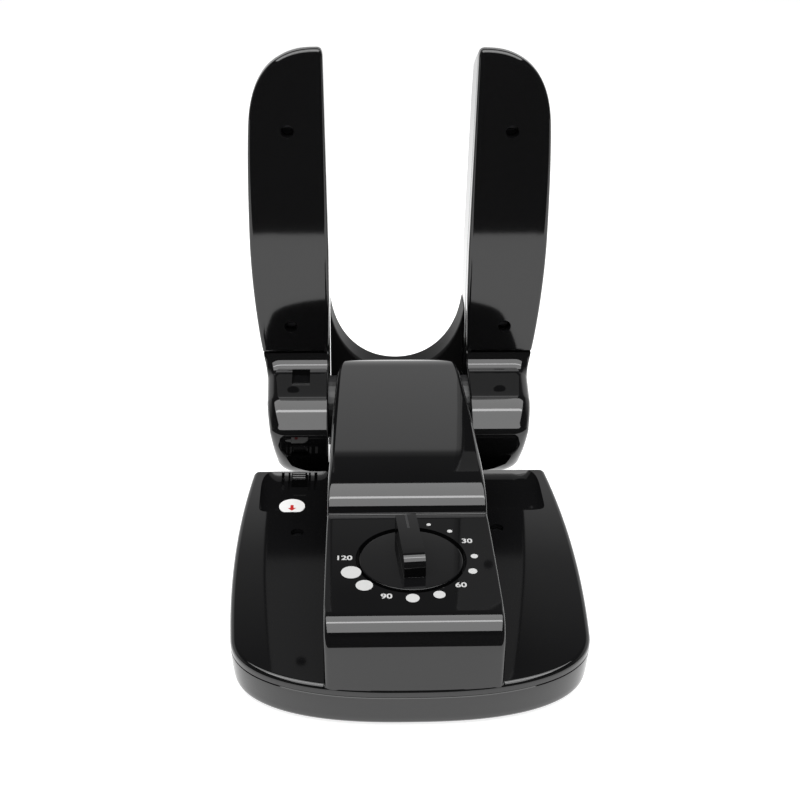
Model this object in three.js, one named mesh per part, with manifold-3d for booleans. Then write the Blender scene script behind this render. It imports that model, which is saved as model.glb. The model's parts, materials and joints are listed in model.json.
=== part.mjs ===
import * as THREE from 'three';
import { mergeVertices } from 'three/addons/utils/BufferGeometryUtils.js';
import Module from 'manifold-3d';

const wasm = await Module();
wasm.setup();

// ---------------------------------------------------------------------------
// Boot dryer: low base with a timer console, twin blower arms on a cross hinge.
// Millimetres, X to the right, Y to the rear, Z up, ground at Z = 0.
// ---------------------------------------------------------------------------

// Base outline
const REAR_EDGE = 53;          // rear edge of the two wings
const FRONT_EDGE = -149;       // foremost point of the base
const BASE_HALF = 92.2;        // widest half width
const WIDEST_AT = -42;         // where the base is widest
const SIDE_CURVE = 0.00066;    // how fast the sides draw in
const CORNER_START = -105;     // where the front corners begin
const CORNER_POWER = 2.5;      // squareness of the front corners
const TONGUE_HALF = 41.5;      // half width of the rear tongue under the hinge
const TONGUE_END = 123.4;       // rear end of the tongue

// Heights
const FOOT_HEIGHT = 2.2;
const SEAM = 19;
const SEAM_GAP = 0.3;
const WING = 24;
const PANEL = 57;
const PANEL_FALL = 0.9;        // the panel slopes down to the front by this much each way
const HUMP = 72.5;

// Console and hump
const CONSOLE_HALF = 42.6;
const CONSOLE_TAPER = 0.0000995;
const CONSOLE_FRONT = -147.2;
const FRONT_ROLL = 11.4;
const PANEL_REAR = -49.5;
const LIP_RISE = 1.2;
const HUMP_FRONT = -6;
const WALL = 2.5;

// Hinge
const AXIS_Y = 95;
const AXIS_Z = 44;
const DRUM = 40;
const HUMP_ROLL = HUMP - AXIS_Z;

// Arms
const ARM_FACE = 105;
const ARM_SPLIT = 117;
const ARM_BACK = 146;
const ARM_IN = 42.3;           // inner face beside the hinge
const ARM_IN_MID = 41.5;
const ARM_IN_TOP = 43.6;
const ARM_TOP = 261;
const REAR_RISE = 0;
const LEDGE = 79;
const ARM_FLOOR = 4;
const SHELL = 2.4;
const LEAN = 0.04;             // the arm faces lean back by this much per unit of height
const BRIDGE_FRONT = 125.2;
const BRIDGE_FLOOR = 24;
const U_LOW = 54;
const SLEEVE = 19.2;
const GAP = 0.3;

// Dial
const DIAL_X = 0.3;
const DIAL_Y = -89.3;
const DIAL_HOLE = 27.6;
const DIAL_DISC = 25.8;
const GRIP_HALF = 5;
const GRIP_TOP = 67.5;
const GRIP_NOSE = 15.8;        // front of the grip, from the dial's centre

// ---------------------------------------------------------------------------
// Materials
// ---------------------------------------------------------------------------
function paint(color, roughness, metalness) {
  return new THREE.MeshStandardMaterial({ color, roughness, metalness });
}
const GLOSS = () => paint(0x0b0b0c, 0.12, 0);
const MATTE = () => paint(0x17181a, 0.55, 0);
const RUBBER = () => paint(0x1d1d1e, 0.9, 0);
const STEEL = () => paint(0xa9abae, 0.35, 1);
const DARK_STEEL = () => paint(0x3a3b3d, 0.4, 1);
const ALUMINIUM = () => paint(0xc4c6c8, 0.45, 1);
const NATURAL = () => paint(0xd9d4c6, 0.5, 0);
const LABEL = () => paint(0xf2f2f0, 0.5, 0);
const COPPER = () => paint(0xb06a3a, 0.4, 1);

// ---------------------------------------------------------------------------
// Solid helpers
// ---------------------------------------------------------------------------
function solid(source) {
  const bare = source.clone();
  bare.deleteAttribute('normal');
  bare.deleteAttribute('uv');
  const welded = mergeVertices(bare, 1e-4);
  return new wasm.Manifold(new wasm.Mesh({
    numProp: 3,
    vertProperties: new Float32Array(welded.attributes.position.array),
    triVerts: new Uint32Array(welded.index.array),
  }));
}

function geometry(body) {
  const data = body.getMesh();
  const made = new THREE.BufferGeometry();
  made.setAttribute('position', new THREE.BufferAttribute(new Float32Array(data.vertProperties), 3));
  made.setIndex(new THREE.BufferAttribute(new Uint32Array(data.triVerts), 1));
  const flat = made.toNonIndexed();
  flat.computeVertexNormals();
  return flat;
}

// The same solid with every corner moved by a rule; a mirror rule also turns the faces round.
function reshape(body, rule, turned = false) {
  const data = body.getMesh();
  const spots = [];
  for (let i = 0; i < data.vertProperties.length; i += 3) {
    spots.push(...rule(data.vertProperties[i], data.vertProperties[i + 1], data.vertProperties[i + 2]));
  }
  const faces = [];
  for (let i = 0; i < data.triVerts.length; i += 3) {
    const [a, b, c] = [data.triVerts[i], data.triVerts[i + 1], data.triVerts[i + 2]];
    faces.push(a, turned ? c : b, turned ? b : c);
  }
  return new wasm.Manifold(new wasm.Mesh({
    numProp: 3, vertProperties: new Float32Array(spots), triVerts: new Uint32Array(faces),
  }));
}

function join(first, ...rest) {
  return rest.reduce((sum, item) => sum.add(item), first);
}

function cut(first, ...rest) {
  return rest.reduce((left, item) => left.subtract(item), first);
}

function common(first, ...rest) {
  return rest.reduce((left, item) => left.intersect(item), first);
}

function box(x0, x1, y0, y1, z0, z1) {
  const made = new THREE.BoxGeometry(x1 - x0, y1 - y0, z1 - z0);
  made.translate((x0 + x1) / 2, (y0 + y1) / 2, (z0 + z1) / 2);
  return solid(made);
}

// Cylinder along an axis letter, between two stations on that axis.
function rod(axis, radius, from, to, a, b, sides = 32, endRadius = radius) {
  const made = new THREE.CylinderGeometry(endRadius, radius, to - from, sides);
  if (axis === 'z') {
    made.rotateX(Math.PI / 2);
    made.translate(a, b, (from + to) / 2);
  } else if (axis === 'x') {
    made.rotateZ(-Math.PI / 2);
    made.translate((from + to) / 2, a, b);
  } else {
    made.translate(a, (from + to) / 2, b);
  }
  return solid(made);
}

// Outline in plan, raised between two heights.
function raise(shape, z0, z1, segments = 10) {
  const made = new THREE.ExtrudeGeometry(shape, {
    depth: z1 - z0, bevelEnabled: false, curveSegments: segments,
  });
  made.translate(0, 0, z0);
  return solid(made);
}

// Outline drawn in (Y, Z), carried across X between two stations.
function across(shape, x0, x1, segments = 10) {
  const made = new THREE.ExtrudeGeometry(shape, {
    depth: x1 - x0, bevelEnabled: false, curveSegments: segments,
  });
  const turn = new THREE.Matrix4().makeBasis(
    new THREE.Vector3(0, 1, 0), new THREE.Vector3(0, 0, 1), new THREE.Vector3(1, 0, 0),
  );
  made.applyMatrix4(turn);
  made.translate(x0, 0, 0);
  return solid(made);
}

// Outline drawn in (X, Z), carried along Y between two stations.
function along(shape, y0, y1, segments = 10) {
  const made = new THREE.ExtrudeGeometry(shape, {
    depth: y1 - y0, bevelEnabled: false, curveSegments: segments,
  });
  made.rotateX(Math.PI / 2);
  made.translate(0, y1, 0);
  return solid(made);
}

function mesh(name, body, material) {
  const made = new THREE.Mesh(geometry(body), material);
  made.name = name;
  return made;
}

function place(made, x, y, z) {
  made.position.set(x, y, z);
  return made;
}

// ---------------------------------------------------------------------------
// Base outline
// ---------------------------------------------------------------------------
function sideHalf(y) {
  return BASE_HALF - SIDE_CURVE * (y - WIDEST_AT) ** 2;
}

function baseOutline(inset, steps = 10) {
  const depth = CORNER_START - FRONT_EDGE - inset;
  const points = [];
  for (let i = 0; i <= 5; i += 1) {
    const y = REAR_EDGE - inset + (CORNER_START - REAR_EDGE + inset) * (i / 5);
    points.push([sideHalf(y) - inset, y]);
  }
  for (let i = 1; i <= steps; i += 1) {
    const turn = (Math.PI / 2) * (i / steps);
    const y = CORNER_START - depth * Math.sin(turn) ** (2 / CORNER_POWER);
    const x = (sideHalf(y) - inset) * Math.abs(Math.cos(turn)) ** (2 / CORNER_POWER);
    points.push([i === steps ? 0 : x, y]);
  }
  const shape = new THREE.Shape();
  const half = TONGUE_HALF - inset;
  const end = TONGUE_END - inset;
  shape.moveTo(points[0][0], points[0][1]);
  shape.lineTo(half, points[0][1]);
  shape.lineTo(half, end);
  shape.lineTo(-half, end);
  shape.lineTo(-half, points[0][1]);
  points.forEach(([x, y]) => shape.lineTo(-x, y));
  points.slice(0, -1).reverse().slice(0, -1).forEach(([x, y]) => shape.lineTo(x, y));
  return shape;
}

// Draws a body in to the console taper: half width depends on Y.
function consoleHalf(y) {
  const back = Math.max(0, y - FRONT_EDGE);
  return CONSOLE_HALF - CONSOLE_TAPER * back * back;
}

function tapered(shape, inset, segments) {
  const made = new THREE.ExtrudeGeometry(shape, {
    depth: 2, bevelEnabled: false, curveSegments: segments,
  });
  made.translate(0, 0, -1);
  const turn = new THREE.Matrix4().makeBasis(
    new THREE.Vector3(0, 1, 0), new THREE.Vector3(0, 0, 1), new THREE.Vector3(1, 0, 0),
  );
  made.applyMatrix4(turn);
  const spot = made.attributes.position;
  for (let i = 0; i < spot.count; i += 1) {
    spot.setX(i, spot.getX(i) * (consoleHalf(spot.getY(i)) - inset));
  }
  return solid(made);
}

// Side outline of the console and hump, in (Y, Z).
function consoleSide(inset, floor) {
  const shape = new THREE.Shape();
  const front = CONSOLE_FRONT + inset;
  const panel = PANEL - inset;
  const hump = HUMP - inset;
  const rollY = CONSOLE_FRONT + FRONT_ROLL;
  const rollZ = PANEL - PANEL_FALL - FRONT_ROLL;
  const step = PANEL_REAR + inset;
  shape.moveTo(front, floor);
  shape.lineTo(front, rollZ);
  shape.absarc(rollY, rollZ, FRONT_ROLL - inset, Math.PI, Math.PI / 2, true);
  shape.lineTo(step, panel + PANEL_FALL);
  shape.lineTo(step, panel + PANEL_FALL + LIP_RISE);
  shape.bezierCurveTo(step + 3.5, panel + LIP_RISE + 6, HUMP_FRONT - 21, hump, HUMP_FRONT, hump);
  shape.lineTo(AXIS_Y, hump);
  shape.absarc(AXIS_Y, AXIS_Z, HUMP_ROLL - inset, Math.PI / 2, -0.35, true);
  shape.lineTo(AXIS_Y + (HUMP_ROLL - inset) * Math.cos(0.35), floor);
  shape.closePath();
  return shape;
}

// ---------------------------------------------------------------------------
// Fixed base shells
// ---------------------------------------------------------------------------

const SCREW_SPOTS = [[-70, -92], [70, -92], [-74, -12], [74, -12]];
const RUBBER_SPOTS = [[-62, -112], [62, -112], [-27, 110], [27, 110]];
const WELLS = { [-1]: [-59, -14.4], 1: [52, -11.5] };   // screw wells of the left and right wing
const BUTTON_X = -59.5;
const BUTTON_Y = 43.5;
const BLOWER_Y = 10;

function bottomShell() {
  const tray = cut(raise(baseOutline(0), 8, SEAM), raise(baseOutline(WALL), 4.7, SEAM + 1));
  const sole = raise(baseOutline(3), FOOT_HEIGHT, FOOT_HEIGHT + 2.5);
  const bevel = cut(
    join(raise(baseOutline(0.9), 4.7, 8.2), raise(baseOutline(2), FOOT_HEIGHT + 1, 5)),
    raise(baseOutline(WALL + 1.5), FOOT_HEIGHT + 2.5, 9),
  );
  let body = join(tray, sole, bevel);
  SCREW_SPOTS.forEach(([x, y]) => {
    body = join(body, rod('z', 5, FOOT_HEIGHT + 1, SEAM - 3, x, y, 16));
    body = cut(body, rod('z', 3.7, 0, 6.8, x, y, 16), rod('z', 1.9, 0, SEAM, x, y, 12));
  });
  for (let i = 0; i < 7; i += 1) {
    const x = -18 + i * 6;
    body = cut(body, box(x - 1.5, x + 1.5, BLOWER_Y - 18, BLOWER_Y + 18, 0, 6));
  }
  RUBBER_SPOTS.forEach(([x, y]) => {
    body = cut(body, rod('z', 6.3, 0, FOOT_HEIGHT + 1, x, y, 16));
  });
  return cut(body, rod('y', 5.3, TONGUE_END - 8, TONGUE_END + 5, -22, 11, 20));
}

function mirrored(body, side) {
  return side > 0 ? body : reshape(body, (x, y, z) => [-x, y, z], true);
}

function topShell() {
  const rim = SEAM + SEAM_GAP;
  let skin = join(
    raise(baseOutline(0), rim, WING - 1.6),
    raise(baseOutline(0.5), WING - 1.8, WING - 0.7),
    raise(baseOutline(1.5), WING - 0.9, WING),
  );
  skin = cut(skin, raise(baseOutline(WALL), rim - 1, WING - WALL));
  [-1, 1].forEach((side) => {
    skin = join(skin, mirrored(box(43, 83, 4, 50, WING - 7.6, WING - 1), side));
    skin = join(skin, rod('z', 5.2, WING - 7, WING - 1, ...WELLS[side], 16));
  });
  SCREW_SPOTS.forEach(([x, y]) => {
    skin = join(skin, rod('z', 4, SEAM - 2.6, WING - 1.5, x, y, 16));
    skin = cut(skin, rod('z', 1.9, 0, WING - 3.4, x, y, 12));
  });
  const outline = raise(baseOutline(0), 0, 120);
  skin = join(skin, common(tapered(consoleSide(0, rim), 0, 9), outline));
  const inner = raise(baseOutline(WALL), 0, 120);
  skin = cut(skin, common(tapered(consoleSide(WALL, 0), WALL, 7), inner));
  skin = join(skin, rod('z', DIAL_HOLE + 2.4, PANEL - 8, PANEL - 1, DIAL_X, DIAL_Y, 28));
  skin = cut(skin, rod('z', DIAL_HOLE, PANEL - 6, PANEL + 6, DIAL_X, DIAL_Y, 40));
  skin = cut(skin, rod('z', 8, PANEL - 12, PANEL, DIAL_X, DIAL_Y, 24));
  [-1, 1].forEach((side) => {
    skin = cut(skin, mirrored(rod('x', 49, 41, 79.5, 29.5, WING + 43.3, 64), side));
    skin = cut(skin, rod('z', 3.6, WING - 5, WING + 2, ...WELLS[side], 16));
    skin = cut(skin, rod('z', 1.8, WING - 9, WING, ...WELLS[side], 12));
  });
  skin = cut(skin, rod('x', SLEEVE + GAP, -60, 60, AXIS_Y, AXIS_Z, 32));
  skin = cut(skin, box(BUTTON_X - 4.5, BUTTON_X + 4.5, BUTTON_Y - 4, BUTTON_Y + 4, 12, WING + 4));
  return skin;
}

// A screw lying along +Z: head at the bottom, shank above it.
function screw(name, head, thick, shank, length) {
  const body = join(rod('z', head, 0, thick, 0, 0, 12), rod('z', shank, thick - 0.5, length, 0, 0, 6));
  const slot = box(-head * 0.55, head * 0.55, -0.5, 0.5, -1, 1);
  return mesh(name, cut(body, slot), DARK_STEEL());
}

// ---------------------------------------------------------------------------
// Base assembly
// ---------------------------------------------------------------------------
const object = new THREE.Group();
const base = new THREE.Group();
base.name = 'base';
object.add(base);
base.add(mesh('bottom_shell', bottomShell(), GLOSS()));
base.add(mesh('top_shell', topShell(), GLOSS()));

RUBBER_SPOTS.forEach(([x, y], i) => {
  const pad = rod('z', 5.6, 0, FOOT_HEIGHT + 0.7, 0, 0, 18, 6);
  base.add(place(mesh(`rubber_foot_${i + 1}`, pad, RUBBER()), x, y, 0));
});

SCREW_SPOTS.forEach(([x, y], i) => {
  base.add(place(screw(`base_screw_${i + 1}`, 3.4, 2.2, 1.6, 15.5), x, y, 4.4));
});

['left', 'right'].forEach((hand, i) => {
  const made = screw(`wing_screw_${hand}`, 3.2, 2, 1.5, 7);
  made.rotation.x = Math.PI;
  base.add(place(made, ...WELLS[i === 0 ? -1 : 1], WING - 2.6));
});

// Blower, heater and wiring inside the hump
function scroll() {
  const outer = join(rod('z', 34, 7, 38, 0, BLOWER_Y, 28), box(-30, 30, BLOWER_Y + 10, 57, 7, 38));
  const inner = join(rod('z', 32, 9, 36, 0, BLOWER_Y, 28), box(-28, 28, BLOWER_Y + 10, 60, 9, 36));
  return cut(outer, inner, rod('z', 19, 0, 20, 0, BLOWER_Y, 28), rod('z', 5, 20, 50, 0, BLOWER_Y, 16));
}

function heaterFrame() {
  const frame = cut(box(-29, 29, 57.5, 74, 7, 38), box(-26.5, 26.5, 50, 80, 9.5, 35.5));
  return frame;
}

function heaterCore() {
  let core = box(-26, 26, 60, 71, 10, 35);
  for (let i = 0; i < 9; i += 1) {
    const x = -24 + i * 5.4;
    core = cut(core, box(x, x + 2, 50, 80, 12, 21.5), box(x, x + 2, 50, 80, 23.5, 33));
  }
  return core;
}

base.add(mesh('blower_housing', scroll(), MATTE()));
base.add(mesh('heater_frame', heaterFrame(), NATURAL()));
base.add(mesh('heater_core', heaterCore(), ALUMINIUM()));
base.add(place(mesh('fan_motor', cut(
  join(rod('z', 17, 0, 19, 0, 0, 28), rod('z', 6, 18, 21.5, 0, 0, 16)),
  rod('z', 1.9, -1, 10, 0, 0, 12),
), STEEL()), 0, BLOWER_Y, 38.4));
base.add(place(mesh('thermal_cutout', join(
  rod('z', 6, 0, 4, 0, 0, 20), box(-8.5, 8.5, -1.2, 1.2, 2, 3.2),
), STEEL()), 0, 66, 38.4));
base.add(place(mesh('terminal_block', cut(
  box(-15, 15, -6, 6, 0, 9), box(-12, -7, -4, 4, 3, 10),
  box(-2.5, 2.5, -4, 4, 3, 10), box(7, 12, -4, 4, 3, 10),
), NATURAL()), 0, -32, 5));
base.add(place(mesh('timer_case', cut(
  join(rod('z', 19, 0, 15.6, 0, 0, 24), box(-23, 23, -6, 6, 0, 4)), rod('z', 3.3, 6, 20, 0, 0, 16),
), MATTE()), DIAL_X, DIAL_Y, 33));
base.add(place(mesh('cord_gland', cut(
  join(rod('y', 5, -8, 0, 0, 0, 20), rod('y', 6.6, 0, 1.2, 0, 0, 20)), rod('y', 3.2, -10, 3, 0, 0, 16),
), RUBBER()), -22, TONGUE_END + 0.2, 11));

const tilt = Math.asin(13 / 49);
const label = mesh('latch_label', rod('z', 7, 0, 0.6, 0, 0, 28), LABEL());
label.rotation.x = -tilt;
base.add(place(label, -63, 29.5 - 48.1 * Math.sin(tilt), WING + 43.3 - 48.1 * Math.cos(tilt)));

// Fan rotor
const fan = new THREE.Group();
fan.name = 'fan';
fan.position.set(0, BLOWER_Y, 0);
let rotor = join(rod('z', 27, 30, 32, 0, 0, 24), rod('z', 5, 20, 31, 0, 0, 12));
rotor = cut(rotor, rod('z', 1.8, 10, 40, 0, 0, 12));
for (let i = 0; i < 12; i += 1) {
  const blade = new THREE.BoxGeometry(7.5, 1.2, 18);
  blade.translate(23.25, 0, 22);
  blade.rotateZ(0.436);
  blade.translate(0, -9, 0);
  blade.rotateZ((i * Math.PI) / 6);
  rotor = join(rotor, solid(blade));
}
fan.add(mesh('fan_impeller', rotor, MATTE()));
fan.add(mesh('fan_shaft', rod('z', 1.5, 19, 47, 0, 0, 12), STEEL()));
object.add(fan);

// Timer knob
const timer = new THREE.Group();
timer.name = 'timer';
timer.position.set(DIAL_X, DIAL_Y, 0);
timer.rotation.z = 0.0785;      // at rest the grip stands a little to the left of straight back
function gripBar() {
  const side = new THREE.Shape();
  side.moveTo(-GRIP_NOSE, PANEL - 2);
  side.lineTo(-GRIP_NOSE, GRIP_TOP - 6);
  side.absarc(-GRIP_NOSE + 6, GRIP_TOP - 6, 6, Math.PI, Math.PI / 2, true);
  side.lineTo(DIAL_DISC - 1.5, GRIP_TOP);
  side.lineTo(DIAL_DISC - 0.6, PANEL - 2);
  side.closePath();
  return across(side, -GRIP_HALF - 0.3, GRIP_HALF + 0.3, 6);
}
timer.add(mesh('timer_knob', cut(
  join(
    rod('z', DIAL_DISC, PANEL - 5.4, PANEL, 0, 0, 40),
    common(gripBar(), rod('z', DIAL_DISC, 40, 80, 0, 0, 40)),
  ),
  rod('z', 3.3, PANEL - 8, PANEL + 3, 0, 0, 16),
), GLOSS()));
timer.add(mesh('timer_shaft', rod('z', 3, 40, PANEL + 2.6, 0, 0, 16), STEEL()));
object.add(timer);

// Release button and its spring
const latch = new THREE.Group();
latch.name = 'latch';
latch.position.set(BUTTON_X, BUTTON_Y, 0);
let button = join(box(-4, 4, -3.5, 3.5, 17.5, 25.5), rod('z', 2, 11, 18, 0, 0, 16));
for (let i = -1; i <= 1; i += 1) {
  button = join(button, rod('x', 0.8, -3.6, 3.6, i * 2.3, 25.4, 12));
}
latch.add(mesh('latch_button', button, GLOSS()));
object.add(latch);

class Coil extends THREE.Curve {
  getPoint(t) {
    const angle = t * Math.PI * 2 * 3;
    return new THREE.Vector3(3 * Math.cos(angle), 3 * Math.sin(angle), 5.6 + t * 10.8);
  }
}
const wire = new THREE.Shape();
wire.absarc(0, 0, 0.4, 0, Math.PI * 2, false);
const coil = new THREE.ExtrudeGeometry(wire, {
  extrudePath: new Coil(), steps: 27, curveSegments: 2, bevelEnabled: false,
});
base.add(place(mesh('latch_spring', solid(coil), STEEL()), BUTTON_X, BUTTON_Y, 0));

// ---------------------------------------------------------------------------
// Arms
// ---------------------------------------------------------------------------
const arms = new THREE.Group();
arms.name = 'arms';
object.add(arms);

// Face outline of one arm in (X, Z), from a chosen floor up to the tip.
function armOutline(inset, floor, lift, inner = 0) {
  const out = -inset;
  const top = ARM_TOP + lift - inset;
  const shape = new THREE.Shape();
  const foot = floor < 30 ? ARM_IN_MID : ARM_IN;
  shape.moveTo(foot + inset - inner, floor);
  if (floor < 30) {
    shape.lineTo(67 + out, floor);
    shape.bezierCurveTo(71 + out, floor, 72.5 + out, floor + 3, 73.5 + out, 24);
    shape.lineTo(80 + out, 64);
  }
  shape.lineTo(83 + out, Math.max(LEDGE, floor));
  shape.bezierCurveTo(86 + out, 100, 88.8 + out, 125, 88.8 + out, 150);
  shape.bezierCurveTo(88.8 + out, 175, 88.2 + out, 198, 86.8 + out, 216 + lift - inset);
  const bend = 234 + lift - inset;
  shape.bezierCurveTo(85.3 + out, bend, 80.5 + out, bend + 14, 69 + out * 0.5, top - 5.7);
  shape.bezierCurveTo(63, top - 1.7, 56, top, 46 + inset - inner, top);
  shape.lineTo(ARM_IN_TOP + inset - inner, top - 4);
  shape.lineTo(ARM_IN_MID + inset - inner, 140);
  shape.lineTo(ARM_IN_MID + inset - inner, 110);
  shape.lineTo(foot + inset - inner, LEDGE + 1);
  shape.closePath();
  return shape;
}

// Skin through the same outline at several insets, from front to back.
function loft(outlineOf, stations) {
  const rings = stations.map(([y, inset, lean = 0]) => {
    const points = outlineOf(inset).getPoints(4);
    const first = points[0];
    if (first.distanceTo(points[points.length - 1]) < 1e-6) {
      points.pop();
    }
    return points.map((point) => (
      new THREE.Vector3(point.x, y + lean * LEAN * Math.max(0, point.y - LEDGE), point.y)
    ));
  });
  const count = rings[0].length;
  const spots = rings.flat();
  const faces = [];
  for (let k = 0; k < rings.length - 1; k += 1) {
    for (let i = 0; i < count; i += 1) {
      const here = k * count + i;
      const next = k * count + ((i + 1) % count);
      faces.push(here, here + count, next, next, here + count, next + count);
    }
  }
  const last = (rings.length - 1) * count;
  const flat = (ring) => ring.map((point) => new THREE.Vector2(point.x, point.z));
  THREE.ShapeUtils.triangulateShape(flat(rings[0]), []).forEach(([i, j, k]) => faces.push(i, j, k));
  THREE.ShapeUtils.triangulateShape(flat(rings[rings.length - 1]), []).forEach(([i, j, k]) => {
    faces.push(last + i, last + k, last + j);
  });
  const made = new wasm.Manifold(new wasm.Mesh({
    numProp: 3,
    vertProperties: new Float32Array(spots.flatMap((point) => [point.x, point.y, point.z])),
    triVerts: new Uint32Array(faces),
  }));
  return made;
}

// Stations of an edge rounded over a given depth and inset, ending at a given Y.
function rounding(y, deep, inset, extra, steps, towards) {
  const stations = [];
  for (let i = 0; i <= steps; i += 1) {
    const turn = (Math.PI / 2) * (i / steps);
    stations.push([y + towards * deep * (Math.sin(turn) - 1), extra + inset * (1 - Math.cos(turn))]);
  }
  return stations;
}

const ARM_SCREWS = [[64.2, 213], [64.8, 93]];

// Y of an arm's front face at a height
function armFace(z) {
  return ARM_FACE + LEAN * Math.max(0, z - LEDGE);
}

function frontShell(side) {
  const low = LEDGE + GAP;
  const edge = rounding(ARM_FACE, 2.4, 2.4, 0, 2, -1).reverse();
  const stations = [...edge, [ARM_SPLIT, 0]].map(([y, inset]) => [y, inset, 1]);
  let body = loft((inset) => armOutline(inset, low + inset, 0), stations);
  const room = [[ARM_FACE + SHELL, SHELL, 1], [ARM_SPLIT + 1, SHELL, 1]];
  body = cut(body, loft((inset) => armOutline(inset, low + SHELL, 0), room));
  ARM_SCREWS.forEach(([x, z]) => {
    const face = armFace(z);
    const depth = ARM_SPLIT - ARM_FACE;
    body = join(body, rod('y', 5.8, face + 1.2, face + depth - 0.4, x, z, 16));
    body = cut(body, rod('y', 3.75, face - 1, face + 9, x, z, 20));
    body = cut(body, rod('y', 1.8, face, face + depth + 1, x, z, 10));
  });
  return mirrored(body, side);
}

// Lean that dies away towards the back of the arm
function fade([y, inset]) {
  return [y, inset, Math.max(0, 1 - (y - ARM_SPLIT) / (ARM_BACK - ARM_SPLIT))];
}

function rearShell(side) {
  const y0 = ARM_SPLIT + GAP;
  const rolled = rounding(ARM_BACK, 20, 10, 0, 4, 1).slice(1);
  const stations = [[y0, 0, 1], [y0 + 3, 0.2, 0.9], ...rolled.map(fade)];
  const whole = loft((inset) => armOutline(inset, ARM_FLOOR + inset, REAR_RISE, inset + 8), stations);
  let body = common(whole, along(armOutline(0, ARM_FLOOR, REAR_RISE), y0 - 1, ARM_BACK + 1, 4));
  const hollow = rounding(ARM_BACK - SHELL, 20, 9, SHELL, 3, 1).slice(1);
  const inside = [[y0 - 5, SHELL], [y0 + 2, SHELL], ...hollow];
  const room = loft((inset) => armOutline(inset, ARM_FLOOR + inset, REAR_RISE, inset + 6), inside);
  const limit = along(armOutline(SHELL, ARM_FLOOR + SHELL, REAR_RISE), y0 - 6, ARM_BACK, 4);
  body = cut(body, common(room, limit));
  body = cut(body, box(40, 46, BRIDGE_FRONT + 3, ARM_BACK - 8, BRIDGE_FLOOR + 4, 50));
  ARM_SCREWS.forEach(([x, z]) => {
    body = join(body, cut(
      rod('y', 4.5, armFace(z) + 12.3, ARM_BACK - 1, x, z, 16),
      rod('y', 1.8, armFace(z) + 10, armFace(z) + 25, x, z, 10),
    ));
  });
  body = cut(body, box(53.7, 72.3, ARM_BACK - 5, ARM_BACK + 5, 148, 202));
  return mirrored(body, side);
}

function outletGrille(side) {
  let plate = box(54, 72, ARM_BACK - 2.2, ARM_BACK - 0.4, 148.3, 201.7);
  for (let i = 0; i < 8; i += 1) {
    const z = 151.5 + i * 6.2;
    plate = cut(plate, box(56, 70, ARM_BACK - 5, ARM_BACK + 5, z, z + 2.6));
  }
  return mirrored(plate, side);
}

// Foot of one arm, drawn in (Y, Z).
function footSide(inset) {
  const shape = new THREE.Shape();
  const front = AXIS_Y - DRUM + inset;
  shape.moveTo(front, AXIS_Z);
  shape.bezierCurveTo(front, 47, front + 1.2, 49.4, front + 3, 50.6 - inset);
  shape.bezierCurveTo(front + 7, 56, front + 12, 60.2 - inset, front + 19, 62.5 - inset);
  shape.lineTo(96, 70 - inset);
  shape.bezierCurveTo(100, 71.4 - inset, 104, 74 - inset, 105.2, LEDGE - inset);
  shape.lineTo(ARM_SPLIT, LEDGE - inset);
  shape.lineTo(ARM_SPLIT, ARM_FLOOR + inset);
  shape.lineTo(AXIS_Y, ARM_FLOOR + inset);
  shape.absarc(AXIS_Y, AXIS_Z, DRUM - inset, Math.PI * 1.5, Math.PI, true);
  return shape;
}

function footPlan(inset) {
  const shape = new THREE.Shape();
  const front = AXIS_Y - DRUM - 1 + inset;
  shape.moveTo(ARM_IN + inset, front);
  shape.lineTo(70, front);
  shape.bezierCurveTo(78 - inset, front + 0.4, 84 - inset, front + 8, 84 - inset, front + 24);
  shape.lineTo(84 - inset, ARM_SPLIT + inset);
  shape.lineTo(ARM_IN + inset, ARM_SPLIT + inset);
  shape.closePath();
  return shape;
}

function foot(side) {
  const face = along(armOutline(0, ARM_FLOOR, 0), 40, ARM_SPLIT, 4);
  let body = common(across(footSide(0), ARM_IN, 90, 6), raise(footPlan(0), 0, 100, 5), face);
  const roomFace = along(armOutline(SHELL, ARM_FLOOR, 0), 40, ARM_SPLIT + 2, 4);
  const room = common(across(footSide(SHELL), ARM_IN, 90, 5), raise(footPlan(SHELL), 0, 100, 4), roomFace);
  body = cut(body, room);
  body = cut(body, rod('x', SLEEVE + GAP, 30, 50, AXIS_Y, AXIS_Z, 32));
  body = cut(body, box(50, 76, ARM_SPLIT - 6, ARM_SPLIT + 2, ARM_FLOOR + 5, 70));
  if (side < 0) {
    body = cut(body, box(53.5, 64.3, 50, 57.6, 38.3, 45), box(53.5, 64.3, 50, 60, 30, 34.6));
    body = join(body, box(52, 66, 57.9, 60, 28, 48));
    body = cut(body, box(53.5, 64.3, 84, 99, 67, 80));
    body = join(body, box(52, 66, 85, 102, 62.6, 66.9));
  }
  return mirrored(body, side);
}

const BRIDGE_HALF = ARM_IN_MID - GAP;
function uOutline(inset, half) {
  const shape = new THREE.Shape();
  shape.moveTo(-half, BRIDGE_FLOOR + inset);
  shape.lineTo(half, BRIDGE_FLOOR + inset);
  shape.lineTo(half, U_LOW + 43.5 - inset);
  shape.bezierCurveTo(39 - inset / 3, U_LOW + 19.5 - inset, 24, U_LOW - inset, 0, U_LOW - inset);
  shape.bezierCurveTo(-24, U_LOW - inset, -39 + inset / 3, U_LOW + 19.5 - inset, -half, U_LOW + 43.5 - inset);
  shape.closePath();
  return shape;
}

arms.add(mesh('arm_bridge', cut(
  along(uOutline(0, BRIDGE_HALF), BRIDGE_FRONT, ARM_BACK, 9),
  along(uOutline(SHELL, BRIDGE_HALF + 3), BRIDGE_FRONT + SHELL, ARM_BACK - SHELL, 9),
), GLOSS()));

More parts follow.
